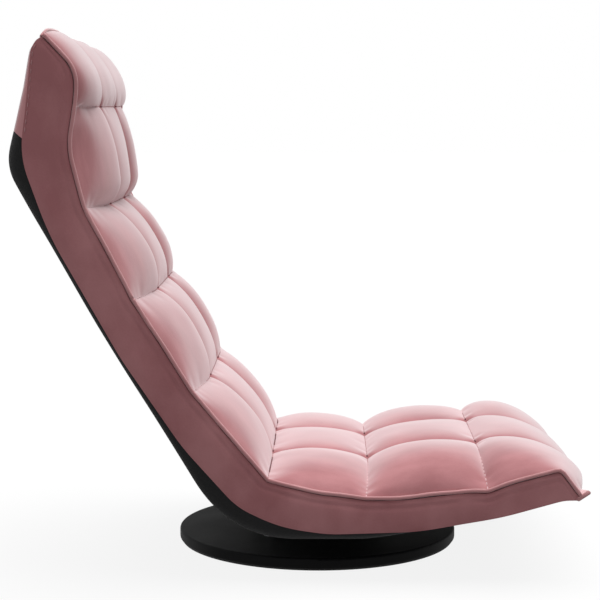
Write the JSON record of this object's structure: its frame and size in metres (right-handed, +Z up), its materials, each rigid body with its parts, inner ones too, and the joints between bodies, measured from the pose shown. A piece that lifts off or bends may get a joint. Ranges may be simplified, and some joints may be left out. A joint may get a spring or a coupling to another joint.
{
  "type": "swivel floor chair",
  "caption": "Low quilted velvet floor chair with a reclining back and tilting headrest on ratchet hinges, over a round swivel base.",
  "frame": {"origin": "on the floor, on the swivel axis, at the centre of the base's underside", "axes": "+X the way a sitter faces, +Y the sitter's left, +Z up"},
  "size_m": [0.7388, 0.524, 0.6994],
  "materials": {
    "velvet_pink": "short-pile velvet, dusty pink",
    "piping_pink": "velvet-covered welt cord",
    "cloth_black": "plain black backing cloth",
    "base_black": "black lacquered board, matte",
    "frame_black": "black powder coat",
    "zinc_steel": "zinc plated",
    "spring_steel": "blued spring steel",
    "ball_steel": "polished",
    "cage_plastic": "moulded",
    "floor_pad_rubber": "fine foam rubber sheet"
  },
  "bodies": {
    "base": {"floor_pad": "floor_pad_rubber", "base_disc": "base_black", "pivot_bolt": "zinc_steel", "base_screws": "zinc_steel", "swivel_lower_plate": "zinc_steel", "pivot_washer": "zinc_steel", "pivot_nut": "zinc_steel"},
    "ball_ring": {"ball_cage": "cage_plastic", "bearing_balls": "ball_steel"},
    "seat": {"swivel_upper_plate": "zinc_steel", "riser_bolts": "zinc_steel", "swivel_riser": "frame_black", "seat_mount_plate": "frame_black", "mount_bolts": "zinc_steel", "seat_frame_tube": "frame_black", "seat_cross_tubes": "frame_black", "waist_ratchet_plates": "zinc_steel", "waist_rivets": "zinc_steel", "seat_cushion": "velvet_pink", "seat_side_panels": "velvet_pink", "seat_piping": "piping_pink", "seat_bottom_cover": "cloth_black", "waist_bend_padding": "velvet_pink", "waist_bend_cover": "cloth_black"},
    "back": {"back_side_tubes": "frame_black", "back_cross_tubes": "frame_black", "waist_pivot_plates": "zinc_steel", "waist_pawl_pins": "zinc_steel", "waist_pawl_springs": "spring_steel", "neck_ratchet_plates": "zinc_steel", "neck_rivets": "zinc_steel", "back_cushion": "velvet_pink", "back_side_panels": "velvet_pink", "back_piping": "piping_pink", "back_cover": "cloth_black", "neck_bend_padding": "velvet_pink", "neck_bend_cover": "cloth_black"},
    "waist_pawl": {"waist_pawls": "zinc_steel"},
    "head": {"head_frame_tube": "frame_black", "neck_pivot_plates": "zinc_steel", "neck_pawl_pins": "zinc_steel", "neck_pawl_springs": "spring_steel", "head_cushion": "velvet_pink", "head_side_panels": "velvet_pink", "head_piping": "piping_pink", "head_cover_hem": "cloth_black", "head_rear_panel": "velvet_pink"},
    "neck_pawl": {"neck_pawls": "zinc_steel"}
  },
  "joints": [
    {"name": "swivel", "type": "hinge", "parent": "base", "child": "seat", "pos_m": [0, 0, 0], "axis": [0, 0, 1], "continuous": true},
    {"name": "ball_ring_roll", "type": "hinge", "parent": "base", "child": "ball_ring", "pos_m": [0, 0, 0], "axis": [0, 0, 1], "continuous": true},
    {"name": "recline", "type": "hinge", "parent": "seat", "child": "back", "pos_m": [-0.08779, 0, 0.09761], "axis": [0, -1, 0], "range_deg": [-30, 60], "deforming": ["waist_bend_padding", "waist_bend_cover"]},
    {"name": "headrest_tilt", "type": "hinge", "parent": "back", "child": "head", "pos_m": [-0.36491, 0, 0.54716], "axis": [0, 1, 0], "range_deg": [-40, 20], "deforming": ["neck_bend_padding", "neck_bend_cover"]},
    {"name": "waist_pawl_lift", "type": "hinge", "parent": "back", "child": "waist_pawl", "pos_m": [-0.08886, 0, 0.12539], "axis": [0, 1, 0], "range_deg": [0, 12], "stiffness_Nm_per_rad": 0.2, "springref_deg": -5.73, "deforming": ["waist_pawl_springs"]},
    {"name": "neck_pawl_lift", "type": "hinge", "parent": "head", "child": "neck_pawl", "pos_m": [-0.34654, 0, 0.56723], "axis": [0, 1, 0], "range_deg": [0, 12], "stiffness_Nm_per_rad": 0.2, "springref_deg": -5.73, "deforming": ["neck_pawl_springs"]}
  ],
  "couplings": [
    {"joint": "ball_ring_roll", "follows": "swivel", "ratio": 0.5}
  ]
}
